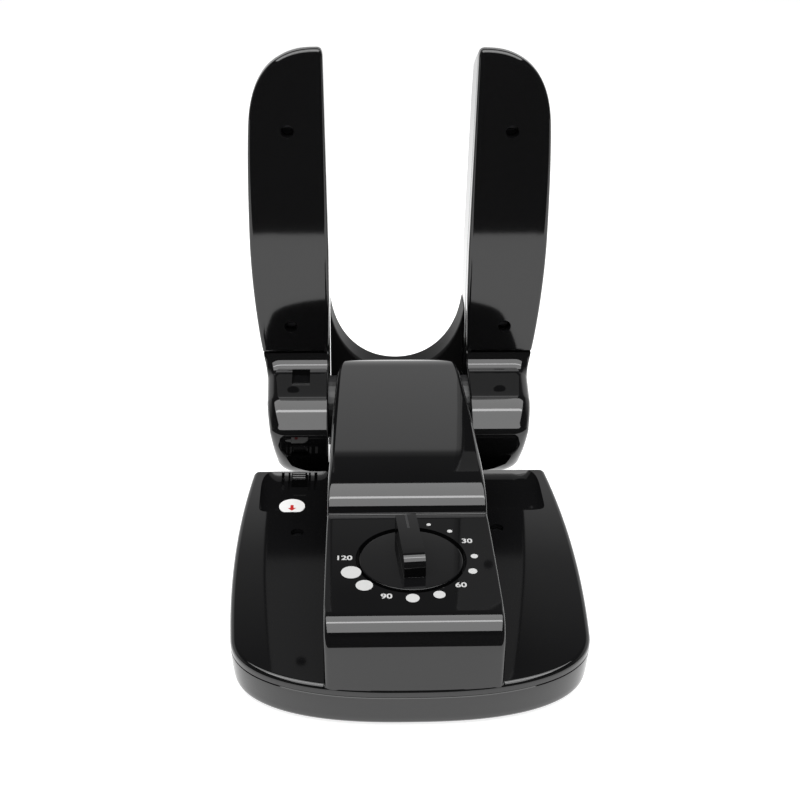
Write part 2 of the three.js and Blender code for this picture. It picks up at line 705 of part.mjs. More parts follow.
['left', 'right'].forEach((hand, i) => {
  const side = i === 0 ? -1 : 1;
  arms.add(mesh(`arm_front_${hand}`, frontShell(side), GLOSS()));
  arms.add(mesh(`arm_rear_${hand}`, rearShell(side), GLOSS()));
  arms.add(mesh(`arm_foot_${hand}`, foot(side), GLOSS()));
  arms.add(mesh(`outlet_grille_${hand}`, outletGrille(side), MATTE()));
  const sleeve = cut(
    rod('x', SLEEVE, 33.5, 48.7, AXIS_Y, AXIS_Z, 32), rod('x', SLEEVE - 2.4, 30, 50, AXIS_Y, AXIS_Z, 28),
  );
  arms.add(mesh(`hinge_sleeve_${hand}`, mirrored(sleeve, side), MATTE()));
  ARM_SCREWS.forEach(([x, z], n) => {
    const made = screw(`arm_screw_${hand}_${n + 1}`, 3.4, 2.2, 1.5, 14);
    made.rotation.x = -Math.PI / 2;
    arms.add(place(made, side * x, armFace(z) + 6.6, z));
  });
});

// Origin: middle of the overall box, on the ground
object.position.y = -(FRONT_EDGE + ARM_BACK) / 2;

export default object;
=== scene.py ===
import json
import math

import bmesh
import bpy
from mathutils import Matrix, Vector


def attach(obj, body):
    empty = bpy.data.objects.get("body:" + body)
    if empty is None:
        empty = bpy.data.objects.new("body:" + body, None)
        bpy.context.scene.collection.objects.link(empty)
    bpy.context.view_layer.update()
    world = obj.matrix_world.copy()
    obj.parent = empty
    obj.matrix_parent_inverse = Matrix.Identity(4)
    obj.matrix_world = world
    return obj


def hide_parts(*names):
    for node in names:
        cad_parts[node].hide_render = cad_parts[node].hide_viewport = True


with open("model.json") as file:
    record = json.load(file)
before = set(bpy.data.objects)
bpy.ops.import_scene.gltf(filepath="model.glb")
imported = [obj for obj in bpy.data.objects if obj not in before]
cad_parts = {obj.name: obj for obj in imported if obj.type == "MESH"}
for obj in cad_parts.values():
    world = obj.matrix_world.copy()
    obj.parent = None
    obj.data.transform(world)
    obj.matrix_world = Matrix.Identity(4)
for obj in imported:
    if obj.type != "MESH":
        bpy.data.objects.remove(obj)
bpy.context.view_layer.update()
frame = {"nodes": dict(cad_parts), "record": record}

MM = 0.001
SHIFT = 1.5          # the model's frame is this far forward of the drawing lines below, in mm

# ---------------------------------------------------------------- dimensions
REAR_EDGE, FRONT_EDGE, BASE_HALF, WIDEST_AT = 53, -149, 92.2, -42
CORNER_START, CORNER_POWER = -105, 2.5
TONGUE_HALF, TONGUE_END = 41.5, 123.4
SEAM, WING, PANEL, FALL, HUMP = 19, 24, 57, 0.9, 72.5
FRONT_ROLL, PANEL_REAR, LIP, HUMP_FRONT = 14, -49.5, 1.2, -6
CONSOLE_FRONT = -144.6
AXIS_Y, AXIS_Z, DRUM = 95, 44, 40
ARM_FACE, ARM_SPLIT, ARM_BACK = 105, 117, 146
DIAL_X, DIAL_Y, DIAL_DISC, DIAL_HOLE = 0.3, -89.3, 25.8, 27.6
SIDE_CURVE = 0.00066           # how fast the sides of the base curve in
CONSOLE_HALF, CONSOLE_TAPER, DRUM_TAPER = 42.6, 0.0000995, 0.0045
WELLS = ((-59, -14.4), (52, -11.5))                            # screw wells in the wings
BASE_SCREWS = ((-70, -92), (70, -92), (-74, -12), (74, -12))   # under the base
PADS = ((-62, -112), (62, -112), (-27, 110), (27, 110))        # rubber feet
ARM_SCREWS = ((64.2, 213), (64.8, 93))                         # x and height in an arm's face
ARM_IN = 42.3                  # inner side of the feet and arm fronts
ARM_IN_MID = 41.5              # inner side of the rear shells
SCALE_R = 31.6                 # radius on which the printed dots stand
BRIDGE_FRONT = 125.2
KNOB_TURN = 4.5                # degrees the grip points left of straight back at rest


# ---------------------------------------------------------------- mesh helpers
def make(name, verts, faces):
    mesh = bpy.data.meshes.new(name)
    mesh.from_pydata([(x * MM, (y + SHIFT) * MM, z * MM) for x, y, z in verts], [], faces)
    mesh.validate()
    b = bmesh.new()
    b.from_mesh(mesh)
    bmesh.ops.remove_doubles(b, verts=b.verts, dist=1e-6)
    bmesh.ops.recalc_face_normals(b, faces=b.faces)
    b.to_mesh(mesh)
    b.free()
    obj = bpy.data.objects.new(name, mesh)
    bpy.context.scene.collection.objects.link(obj)
    return obj


def skin(name, rings):
    """A closed skin through rings of equal length, capped at both ends."""
    n = len(rings[0])
    verts = [p for ring in rings for p in ring]
    faces = []
    for k in range(len(rings) - 1):
        for i in range(n):
            j = (i + 1) % n
            faces.append((k * n + i, k * n + j, (k + 1) * n + j, (k + 1) * n + i))
    faces.append(tuple(range(n))[::-1])
    faces.append(tuple(range((len(rings) - 1) * n, len(rings) * n)))
    return make(name, verts, faces)


def inset(points, d):
    """Moves each corner of a closed outline inwards by d (outline runs anticlockwise)."""
    n, out = len(points), []
    for i in range(n):
        a, p, b = Vector(points[i - 1]), Vector(points[i]), Vector(points[(i + 1) % n])
        u, v = (p - a), (b - p)
        if u.length < 1e-6 or v.length < 1e-6:
            out.append((p.x, p.y))
            continue
        u.normalize()
        v.normalize()
        m = Vector((-u.y - v.y, u.x + v.x))
        m = m.normalized() if m.length > 1e-6 else Vector((-u.y, u.x))
        c = max(0.45, m.dot(Vector((-u.y, u.x))))
        q = p + m * (d / c)
        out.append((q.x, q.y))
    return out


def bez(p0, p1, p2, p3, n, first=False):
    pts = []
    for i in range(0 if first else 1, n + 1):
        t = i / n
        s = 1 - t
        pts.append(tuple(s**3 * a + 3 * s * s * t * b + 3 * s * t * t * c + t**3 * d
                         for a, b, c, d in zip(p0, p1, p2, p3)))
    return pts


def arc(cx, cy, r, a0, a1, n):
    return [(cx + r * math.cos(math.radians(a0 + (a1 - a0) * i / n)),
             cy + r * math.sin(math.radians(a0 + (a1 - a0) * i / n))) for i in range(n + 1)]


def line(p, q, n):
    return [(p[0] + (q[0] - p[0]) * i / n, p[1] + (q[1] - p[1]) * i / n) for i in range(1, n + 1)]


def block(x0, x1, y0, y1, z0, z1):
    v = [(x, y, z) for z in (z0, z1) for y in (y0, y1) for x in (x0, x1)]
    f = [(0, 2, 3, 1), (4, 5, 7, 6), (0, 1, 5, 4), (2, 6, 7, 3), (0, 4, 6, 2), (1, 3, 7, 5)]
    return make("cutter", v, f)


def drum(axis, r, a, b, u, v, n=96, r2=None):
    r2 = r if r2 is None else r2
    rings = []
    for station, radius in ((a, r), (b, r2)):
        ring = []
        for i in range(n):
            t = 2 * math.pi * i / n
            p, q = u + radius * math.cos(t), v + radius * math.sin(t)
            ring.append({"x": (station, p, q), "y": (p, station, q), "z": (p, q, station)}[axis])
        rings.append(ring)
    return skin("cutter", rings)


def applied(obj):
    """Turns an object's modifiers into its mesh."""
    graph = bpy.context.evaluated_depsgraph_get()
    mesh = bpy.data.meshes.new_from_object(obj.evaluated_get(graph))
    obj.modifiers.clear()
    obj.data = mesh
    return obj


def combine(obj, tool, how="DIFFERENCE"):
    m = obj.modifiers.new("b", "BOOLEAN")
    m.operation, m.solver, m.object = how, "EXACT", tool
    applied(obj)
    bpy.data.objects.remove(tool)
    return obj


def mirrored(obj, side):
    if side < 0:
        obj.data.transform(Matrix.Scale(-1, 4, (1, 0, 0)))
        obj.data.flip_normals()
    return obj


def soften(obj, width=0.4, angle=32, segments=3):
    """Rolled moulding edges with smooth shading that keeps flat faces flat."""
    if width:
        m = obj.modifiers.new("edge", "BEVEL")
        m.width, m.segments, m.limit_method = width * MM, segments, "ANGLE"
        m.angle_limit, m.use_clamp_overlap, m.miter_outer = math.radians(angle), True, "MITER_ARC"
        applied(obj)
    obj.data.polygons.foreach_set("use_smooth", [True] * len(obj.data.polygons))
    w = obj.modifiers.new("n", "WEIGHTED_NORMAL")
    w.keep_sharp, w.weight, w.mode = True, 60, "FACE_AREA"
    b = bmesh.new()
    b.from_mesh(obj.data)
    for e in b.edges:
        e.smooth = not (len(e.link_faces) == 2 and e.calc_face_angle(0) > math.radians(50))
    b.to_mesh(obj.data)
    b.free()
    return obj


def piece(obj, name, body, slot, material, *nodes):
    obj.name = name
    obj.data.materials.clear()
    obj.data.materials.append(material)
    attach(obj, body)
    if nodes:
        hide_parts(*nodes)
    return obj


# ---------------------------------------------------------------- materials
def nodes_of(name):
    m = bpy.data.materials.new(name)
    m.use_nodes = True
    t = m.node_tree
    return m, t, t.nodes["Principled BSDF"]


def plastic(name, color, rough, bump, scale, vary, coat=0.0, metal=0.0):
    """Moulded finish: slight colour and gloss variation with a fine surface grain."""
    m, t, p = nodes_of(name)
    co = t.nodes.new("ShaderNodeTexCoord")
    big = t.nodes.new("ShaderNodeTexNoise")
    big.inputs["Scale"].default_value = 14
    big.inputs["Detail"].default_value = 3
    t.links.new(co.outputs["Object"], big.inputs["Vector"])
    mix = t.nodes.new("ShaderNodeMix")
    mix.data_type = "RGBA"
    mix.inputs[6].default_value = (*[c * (1 - vary) for c in color], 1)
    mix.inputs[7].default_value = (*[min(1, c * (1 + vary)) for c in color], 1)
    t.links.new(big.outputs["Fac"], mix.inputs[0])
    t.links.new(mix.outputs[2], p.inputs["Base Color"])
    fine = t.nodes.new("ShaderNodeTexNoise")
    fine.inputs["Scale"].default_value = scale
    fine.inputs["Detail"].default_value = 4
    t.links.new(co.outputs["Object"], fine.inputs["Vector"])
    r = t.nodes.new("ShaderNodeMapRange")
    r.inputs["To Min"].default_value = rough * 0.85
    r.inputs["To Max"].default_value = rough * 1.15
    t.links.new(fine.outputs["Fac"], r.inputs["Value"])
    t.links.new(r.outputs["Result"], p.inputs["Roughness"])
    b = t.nodes.new("ShaderNodeBump")
    b.inputs["Strength"].default_value = bump
    b.inputs["Distance"].default_value = 0.0001
    t.links.new(fine.outputs["Fac"], b.inputs["Height"])
    t.links.new(b.outputs["Normal"], p.inputs["Normal"])
    p.inputs["Metallic"].default_value = metal
    p.inputs["IOR"].default_value = 1.5
    p.inputs["Coat Weight"].default_value = coat
    p.inputs["Coat Roughness"].default_value = 0.03
    return m


GLOSS = plastic("gloss_black", (0.0035, 0.0035, 0.0037), 0.045, 0.012, 260, 0.2)
MATTE = plastic("matte_black", (0.012, 0.012, 0.0125), 0.45, 0.35, 2200, 0.15)
RUBBER = plastic("rubber", (0.02, 0.02, 0.02), 0.75, 0.5, 1500, 0.2)
STEEL = plastic("plated_steel", (0.45, 0.45, 0.46), 0.32, 0.2, 900, 0.1, metal=1.0)
DARK = plastic("dark_steel", (0.035, 0.035, 0.037), 0.35, 0.25, 900, 0.1, metal=1.0)
FINS = plastic("heater_fins", (0.6, 0.61, 0.62), 0.4, 0.3, 700, 0.1, metal=1.0)
NATURAL = plastic("natural_plastic", (0.7, 0.66, 0.56), 0.5, 0.2, 900, 0.06)
WHITE = plastic("white_print", (0.62, 0.62, 0.615), 0.35, 0.1, 1200, 0.03)
PRINT = plastic("pale_print", (0.36, 0.36, 0.357), 0.35, 0.1, 1200, 0.03)
RED = plastic("red_print", (0.38, 0.008, 0.008), 0.35, 0.1, 1200, 0.05)
# Painted shade: a copy of the gloss black with a rough, weak reflection, so the arm bridge reads darker
# than the gloss black it is made of
SHADED_GLOSS = plastic("gloss_black_painted_shade", (0.004, 0.004, 0.004), 0.5, 0.2, 1200, 0.2)
SHADED_GLOSS.node_tree.nodes["Principled BSDF"].inputs["Specular IOR Level"].default_value = 0.12
SLOTS = {"gloss_black": GLOSS, "matte_black": MATTE, "rubber": RUBBER, "plated_steel": STEEL,
         "dark_steel": DARK, "heater_fins": FINS, "natural_plastic": NATURAL, "white_label": WHITE}
slot_of = {s["node"]: s["material_slot"] for s in frame["record"]["subparts"]}
for node_name, node in frame["nodes"].items():
    node.data.materials.clear()
    node.data.materials.append(SLOTS[slot_of[node_name]])
    b = bmesh.new()
    b.from_mesh(node.data)
    for e in b.edges:
        e.smooth = len(e.link_faces) == 2 and e.calc_face_angle(0) < math.radians(28)
    for f in b.faces:
        f.smooth = True
    b.to_mesh(node.data)
    b.free()


# ---------------------------------------------------------------- base shells
def side_half(y):
    return BASE_HALF - SIDE_CURVE * (y - WIDEST_AT) ** 2


def base_outline():
    right = []
    n = 60
    depth = CORNER_START - FRONT_EDGE
    for i in range(n, 0, -1):
        t = math.pi / 2 * i / n
        y = CORNER_START - depth * math.sin(t) ** (2 / CORNER_POWER)
        x = side_half(y) * abs(math.cos(t)) ** (2 / CORNER_POWER) if i < n else 0
        right.append((x, y))
    for i in range(24):
        y = CORNER_START + (REAR_EDGE - 3 - CORNER_START) * i / 23
        right.append((side_half(y), y))
    rx = side_half(REAR_EDGE)
    right += arc(rx - 3, REAR_EDGE - 3, 3, 0, 90, 6)[1:]
    right += line((rx - 3, REAR_EDGE), (TONGUE_HALF + 2, REAR_EDGE), 10)
    right += [(TONGUE_HALF, REAR_EDGE + 2)]
    right += line((TONGUE_HALF, REAR_EDGE + 2), (TONGUE_HALF, TONGUE_END - 2), 10)
    right += [(TONGUE_HALF - 2, TONGUE_END)]
    left = [(-x, y) for x, y in reversed(right) if x > 1e-6]
    return right + left


OUTLINE = base_outline()


def plate(name, steps):
    """Skin through the base outline at (inset, height) steps."""
    return skin(name, [[(x, y, z) for x, y in inset(OUTLINE, d)] for d, z in steps])


def console_half(y):
    back = max(0, y - FRONT_EDGE)
    rear = max(0, y - 84)
    return CONSOLE_HALF - CONSOLE_TAPER * back * back - DRUM_TAPER * rear * rear


def front_shift(x):
    """How far the rounded front of the base falls back at this distance from the middle."""
    side = min(0.999, abs(x) / side_half(-149))
    t = 1 - (1 - side ** CORNER_POWER) ** (1 / CORNER_POWER)
    return (CORNER_START - FRONT_EDGE) * t


def console_line():
    front, floor = CONSOLE_FRONT, SEAM + 0.5
    roll_y, roll_z = front + FRONT_ROLL, PANEL - FALL - FRONT_ROLL
    pts = [(front, floor)] + line((front, floor), (front, roll_z - 1), 8)
    pts += arc(roll_y, roll_z, FRONT_ROLL, 180, 90, 24)
    pts += line((roll_y, PANEL - FALL), (PANEL_REAR - 0.6, PANEL + FALL), 14)
    pts += arc(PANEL_REAR - 0.6, PANEL + FALL + 0.6, 0.6, -90, 0, 5)[1:]
    pts += [(PANEL_REAR + 0.1, PANEL + FALL + LIP - 0.5)]
    pts += bez((PANEL_REAR + 0.5, PANEL + FALL + LIP), (PANEL_REAR + 2.5, PANEL + LIP + 8),
               (HUMP_FRONT - 25, HUMP), (HUMP_FRONT, HUMP), 34, True)
    pts += line((HUMP_FRONT, HUMP), (AXIS_Y - 6, HUMP), 24)
    pts += line((AXIS_Y - 6, HUMP), (AXIS_Y, HUMP), 3)
    pts += arc(AXIS_Y, AXIS_Z, HUMP - AXIS_Z, 90, -15, 26)[1:]
    return pts + [(pts[-1][0], floor)]


def console():
    line_pts, floor = console_line(), SEAM + 0.5
    n = len(line_pts)
    stations, steps, across = [], 7, 16
    for k in range(steps + 1):
        stations.append((1, math.pi / 2 * k / steps))
    for k in range(1, across):
        stations.append((1 - 2 * k / across, None))
    for k in range(steps, -1, -1):
        stations.append((-1, math.pi / 2 * k / steps))
    rings = []
    for side, t in stations:
        ring = []
        for i, (y, z) in enumerate(line_pts):
            r = 0.8 if y < PANEL_REAR - 6 else min(2.8, 0.8 + (y - PANEL_REAR + 6) * 0.06)
            r += 1.6 * max(0, min(1, (CONSOLE_FRONT + 20 - y) / 16))
            half = console_half(y)
            if t is None:
                x, drop = side * (half - r), 0
            else:
                x = side * (half - r * (1 - math.cos(t)))
                drop = r * (1 - math.sin(t)) * (0 if i in (0, n - 1) else 1)
            d = (Vector(line_pts[min(i + 1, n - 1)]) - Vector(line_pts[max(i - 1, 0)])).normalized()
            low = max(0, 44 - z) / (44 - floor) if y < CONSOLE_FRONT + 1 else 0
            foot_y = FRONT_EDGE + 0.05 + front_shift(x) - CONSOLE_FRONT
            ring.append((x, y + d.y * drop + foot_y * low, z - d.x * drop))
        rings.append(ring)
    verts = [p for ring in rings for p in ring]
    faces = []
    m = len(rings)
    for k in range(m - 1):
        for i in range(n - 1):
            faces.append((k * n + i, k * n + i + 1, (k + 1) * n + i + 1, (k + 1) * n + i))
    floor_rows = []
    for k in (0, m - 1):
        row = list(range(len(verts), len(verts) + n))
        verts += [(x, y, floor) for x, y, _ in rings[k]]
        floor_rows.append(row)
        faces += [(k * n + i, k * n + i + 1, row[i + 1], row[i]) for i in range(n - 1)]
    one, two = floor_rows
    faces += [(one[i], one[i + 1], two[i + 1], two[i]) for i in range(1, n - 2)]
    faces.append(tuple(k * n for k in range(m)) + (two[1], one[1]))
    faces.append(tuple(k * n + n - 1 for k in range(m)) + (two[n - 2], one[n - 2]))
    return make("console", verts, faces)


DISH = 4.2           # depth of the seats in the wings


def dish(side):
    """Cutter for the shallow flat-floored seat in a wing."""
    nx, ny = 44, 50
    verts, faces = [], []
    for j in range(ny + 1):
        for i in range(nx + 1):
            x, y = -25 + 50 * i / nx, -26 + 52 * j / ny
            g = 1 - (abs(y) / 23) ** (14 if y < 0 else 3) - (abs(x) / 21.5) ** 6
            verts.append((side * (60 + x), 29.5 + y, WING - DISH * max(g, -2)))
    lid = len(verts)
    for j in range(ny + 1):
        for i in range(nx + 1):
            verts.append((side * (60 - 25 + 50 * i / nx), 29.5 - 26 + 52 * j / ny, WING + 40))
    at = lambda i, j: j * (nx + 1) + i
    for j in range(ny):
        for i in range(nx):
            q = (at(i, j), at(i + 1, j), at(i + 1, j + 1), at(i, j + 1))
            faces.append(q)
            faces.append(tuple(v + lid for v in reversed(q)))
    rim = [at(i, 0) for i in range(nx)] + [at(nx, j) for j in range(ny)]
    rim += [at(i, ny) for i in range(nx, 0, -1)] + [at(0, j) for j in range(ny, 0, -1)]
    for a, b in zip(rim, rim[1:] + rim[:1]):
        faces.append((a, b, b + lid, a + lid))
    return make("cutter", verts, faces)


def round_steps(z_from, z_top, r, n=7):
    return [(r * (1 - math.cos(math.pi / 2 * i / n)), z_top - r + r * math.sin(math.pi / 2 * i / n))
            for i in range(n + 1)]


wings = plate("wings", [(0, SEAM + 0.5), (0, 20.4)] + round_steps(0, WING, 2.6, 9))
for s in (1, -1):
    wings = combine(wings, dish(s))
wings = combine(wings, block(-64, -55, 39.5, 51, 12, 30))
for x0, x1 in ((-70, -68.3), (-66, -64.9), (-54, -52.9), (-50.7, -49)):
    wings = combine(wings, block(x0, x1, 36.5, 51, 12, 30))
top = combine(wings, console(), "UNION")
top = combine(top, drum("z", DIAL_HOLE, PANEL - 6, PANEL + 6, DIAL_X, DIAL_Y, 160))
for well in WELLS:
    top = combine(top, drum("z", 3.6, WING - 5, WING + 4, *well, 48))
piece(soften(top, 0.35, 34, 3), "top_shell_skin", "base", "gloss_black", GLOSS, "top_shell")

bottom = plate("bottom", [(12, 2.2), (6, 2.2), (3.2, 2.2), (1.9, 2.8), (1.2, 4.2), (0.8, 7),
                           (0.3, 12), (0, 17), (0, SEAM - 0.3), (0.35, SEAM)])
for i in range(7):
    slot_x = -18 + i * 6
    bottom = combine(bottom, block(slot_x - 1.5, slot_x + 1.5, -8, 28, 0, 6))
for sx, sy in BASE_SCREWS:
    bottom = combine(bottom, drum("z", 3.7, 0, 6.8, sx, sy, 40))
for sx, sy in PADS:
    bottom = combine(bottom, drum("z", 6.3, 0, 3.2, sx, sy, 40))
bottom = combine(bottom, drum("y", 5.3, TONGUE_END - 8, TONGUE_END + 5, -22, 11, 40))
piece(soften(bottom, 0.3, 40, 2), "bottom_shell_skin", "base", "gloss_black", GLOSS, "bottom_shell")


# ---------------------------------------------------------------- arms
LEDGE = 75.4         # the arm fronts end here, above the ledge of the feet
LEAN = 0.04          # the arm faces lean back by this much per unit of height


def arm_outline(floor):
    top_z = 259.4
    low = ARM_IN_MID if floor < 30 else ARM_IN
    pts = [(low, floor)]
    if floor < 30:
        pts += line((low, floor), (67, floor), 6)
        pts += bez((67, floor), (71, floor), (72.5, floor + 3), (73.5, 24), 10)
        pts += line((73.5, 24), (80, 64), 6)
        pts += [(81.8, 74)]
    else:
        pts += line((low, floor), (81, floor), 6) + [(82.3, floor + 0.5)]
    pts += bez((82.7, LEDGE + 3), (85.6, 98), (88, 125), (88, 150), 18)
    pts += bez((88, 150), (88, 175), (87.6, 198), (86.4, 216), 18)
    pts += bez((86.4, 216), (85.3, 233), (80.5, 246.6), (69, 253.7), 24)
    pts += bez((69, 253.7), (63, 257.6), (56, top_z), (47, top_z), 14)
    pts += bez((47, top_z), (45, top_z), (43.9, top_z - 1), (43.6, top_z - 4), 6)
    pts += line((43.6, top_z - 4), (41.5, 140), 14)
    pts += line((41.5, 140), (41.5, 110), 3)
    pts += line((41.5, 110), (low, max(LEDGE, floor + 0.5)), 4)
    if floor < 30:
        pts += line((low, LEDGE), (low, floor + 0.5), 8)
    return pts


def face_y(z):
    return ARM_FACE + LEAN * max(0, z - 79)


def rolled(outline, y, r, towards, n):
    """Rings of an outline with its edge rolled over at station y."""
    rings = []
    for i in range(n + 1):
        t = math.pi / 2 * i / n
        edge = inset(outline, r * (1 - math.cos(t)))
        rings.append([(x, y + towards * r * (math.sin(t) - 1), z) for x, z in edge])
    return rings


def arm_front(side):
    face = arm_outline(LEDGE + 0.4)
    rings = [[(x, y + LEAN * max(0, z - 79), z) for x, y, z in ring]
             for ring in reversed(rolled(face, ARM_FACE, 2.4, -1, 9))]
    rings.append([(x, ARM_SPLIT, z) for x, z in face])
    body = skin("arm_front", rings)
    for x, z in ARM_SCREWS:
        body = combine(body, drum("y", 3.75, ARM_FACE - 1, face_y(z) + 9, x, z, 64))
        body = combine(body, drum("y", 4.1, ARM_FACE - 1, face_y(z) + 0.35, x, z, 64, 3.75))
    return mirrored(soften(body, 0.25, 40, 3), side)


def arm_rear(side):
    face = arm_outline(4)
    y0 = ARM_SPLIT + 0.3
    n = 16
    rings = [[(x, y0, z) for x, z in inset(face, 0.4)], [(x, y0 + 0.5, z) for x, z in face]]
    for i in range(1, n + 1):
        t = math.pi / 2 * i / n
        d = 10.5 * (1 - math.cos(t))
        y = y0 + 0.5 + (ARM_BACK - y0 - 0.5) * math.sin(t)
        ring = []
        for (x, z), (px, pz) in zip(face, inset(face, d)):
            w = min(1, max(0, (x - 43.8) / 14))
            w = w * w * (3 - 2 * w)
            top = max(0, min(1, (z - 225) / 30))
            rise = -13.5 * math.sin(t) ** 1.2 * top * (1 - 0.6 * w)
            keep = max(x + (px - x) * w, 41.5)
            tall = z + (pz - z) * (w if z > 30 else 1) + rise
            ring.append((keep if x > 43.7 else x, y, max(tall, 4 + d) if z < 30 else tall))
        rings.append(ring)
    body = skin("arm_rear", rings)
    body = combine(body, block(54, 72, ARM_BACK - 4, ARM_BACK + 4, 148.3, 201.7))
    return mirrored(soften(body, 0.6, 44, 3), side)


def foot_side():
    front = AXIS_Y - DRUM
    pts = [(front, AXIS_Z)]
    pts += bez((front, AXIS_Z), (front, 47), (front + 1.2, 49.4), (front + 3, 50.6), 8)
    pts += bez((front + 3, 50.6), (front + 7, 56), (front + 12, 60.2), (front + 19, 62.5), 16)
    pts += line((front + 19, 62.5), (96, 66.6), 6)
    pts += bez((96, 66.6), (100, 67.6), (104, 70.2), (105.2, LEDGE), 12)
    pts += [(ARM_SPLIT, LEDGE), (ARM_SPLIT, 4)]
    pts += line((ARM_SPLIT, 4), (AXIS_Y, 4), 3)
    pts += arc(AXIS_Y, AXIS_Z, DRUM, 270, 180, 26)[1:-1]
    return pts


def foot(side):
    outline = foot_side()
    flat = outline[::-1]
    n, small, r = 6, 1.2, 9
    rings = [[(ARM_IN + small * (1 - math.cos(math.pi / 2 * i / n)), y, z) for y, z in
              inset(flat, small * (1 - math.sin(math.pi / 2 * i / n)))] for i in range(n + 1)]
    for i in range(17):
        t = math.pi / 2 * i / 16
        ring = []
        for (y1, z1), (y, z) in zip(flat, inset(flat, r * (1 - math.cos(t)) * 0.75)):
            w = max(0, min(1, (z1 - 66) / 8))
            w = 1 if y1 > ARM_SPLIT - 0.1 else w * w * (3 - 2 * w)
            y, z = y + (y1 - y) * w, z + (z1 - z) * (w if z1 > 60 else 0)
            wide = 73.5 + (z - 24) * 6.5 / 40 if z > 24 else 73.5 - (24 - z) ** 2 * 0.016
            if z > 64:
                wide = 80 + (z - 64) * 2.3 / 15
            ring.append((wide - r + r * math.sin(t), y, z))
        rings.append(ring)
    body = skin("foot", rings)
    if side < 0:
        body = combine(body, block(53.5, 64.3, 50, 57.6, 38.3, 45))
        body = combine(body, block(53.5, 64.3, 50, 60, 30, 34.6))
        body = combine(body, block(53.5, 64.3, 84, 99, 63.5, 80))
    return mirrored(soften(body, 0.3, 42, 2), side)


def bridge():
    half = 41.2
    upper = [(-half, 97.5)] + bez((-half, 97.5), (-39, 73.5), (-24, 54), (0, 54), 40)
    upper += [(-x, z) for x, z in reversed(upper[:-1])]
    rings = []
    for x, z in upper:
        lower, r = 24, min(2.4, (z - 24) / 3)
        ring = []
        corners = ((ARM_BACK - r, z - r, 0), (BRIDGE_FRONT + r, z - r, 90),
                   (BRIDGE_FRONT + r, lower + r, 180), (ARM_BACK - r, lower + r, 270))
        for cy, cz, start in corners:
            ring += [(x, y, zz) for y, zz in arc(cy, cz, r, start, start + 90, 6)]
        rings.append(ring)
    return soften(skin("bridge", rings), 0, 40)


# The bridge takes the copy of gloss black with its reflection damped: painted shade
piece(bridge(), "arm_bridge_skin", "arms", "gloss_black", SHADED_GLOSS, "arm_bridge")
for hand, s in (("left", -1), ("right", 1)):
    piece(arm_front(s), f"arm_front_skin_{hand}", "arms", "gloss_black", GLOSS, f"arm_front_{hand}")
    piece(arm_rear(s), f"arm_rear_skin_{hand}", "arms", "gloss_black", GLOSS, f"arm_rear_{hand}")
    piece(foot(s), f"arm_foot_skin_{hand}", "arms", "gloss_black", GLOSS, f"arm_foot_{hand}")


# ---------------------------------------------------------------- timer knob
def turned(obj):
    """At rest the grip points a little to the left of straight back."""
    spot = Matrix.Translation((DIAL_X * MM, (DIAL_Y + SHIFT) * MM, 0))
    obj.data.transform(spot @ Matrix.Rotation(math.radians(KNOB_TURN), 4, "Z") @ spot.inverted())
    return obj


def knob():
    rings = []
    n = 160
    for r, z in ((8, 51.6), (25.6, 51.6), (25.8, 52), (25.8, 56.2), (25.55, 56.8), (25, 57)):
        rings.append([(DIAL_X + r * math.cos(2 * math.pi * i / n),
                       DIAL_Y + r * math.sin(2 * math.pi * i / n), z) for i in range(n)])
    disc = skin("knob", rings)
    d = DIAL_DISC
    side = [(-15.8, 55), (-15.8, 61.5)]
    side += arc(-9.9, 61.5, 6, 180, 90, 14)[1:]
    side += line((-9.9, 67.5), (d - 1, 67.5), 8)
    side += [(d - 0.3, 55)]
    grip = skin("grip", [[(DIAL_X + x, DIAL_Y + y, z) for y, z in side] for x in (-5.3, -1.8, 1.8, 5.3)])
    grip = combine(grip, drum("z", d - 0.1, 40, 80, DIAL_X, DIAL_Y, 160), "INTERSECT")
    return turned(combine(disc, grip, "UNION"))


piece(soften(knob(), 0.55, 34, 4), "timer_knob_skin", "timer", "gloss_black", GLOSS, "timer_knob")
pointer = turned(block(DIAL_X - 0.6, DIAL_X + 0.6, DIAL_Y + 12, DIAL_Y + 24.5, 67.4, 67.56))
piece(pointer, "knob_pointer", "timer", "matte_black", MATTE)


# ---------------------------------------------------------------- printed scale
def panel_z(y):
    start = CONSOLE_FRONT + FRONT_ROLL
    return PANEL - FALL + 2 * FALL * (y - start) / (PANEL_REAR - 0.6 - start)


def dot(i, angle, r):
    a = math.radians(angle)
    x, y = DIAL_X + SCALE_R * math.sin(a), DIAL_Y + SCALE_R * math.cos(a)
    ring = []
    for q, h in ((r, -0.05), (r, 0.05), (r - 0.04, 0.07)):
        edge = [(x + q * math.cos(2 * math.pi * k / 40), y + q * math.sin(2 * math.pi * k / 40))
                for k in range(40)]
        ring.append([(u, v, panel_z(v) + h) for u, v in edge])
    piece(skin("dot", ring), f"scale_dot_{i}", "base", "white_label", PRINT)


for i, (angle, r) in enumerate(((19, 1.13), (41, 1.32), (86.5, 1.79), (109.5, 2.2), (157, 2.92),
                                (181, 3.29), (228, 4.19), (250.5, 4.97))):
    dot(i + 1, angle, r)


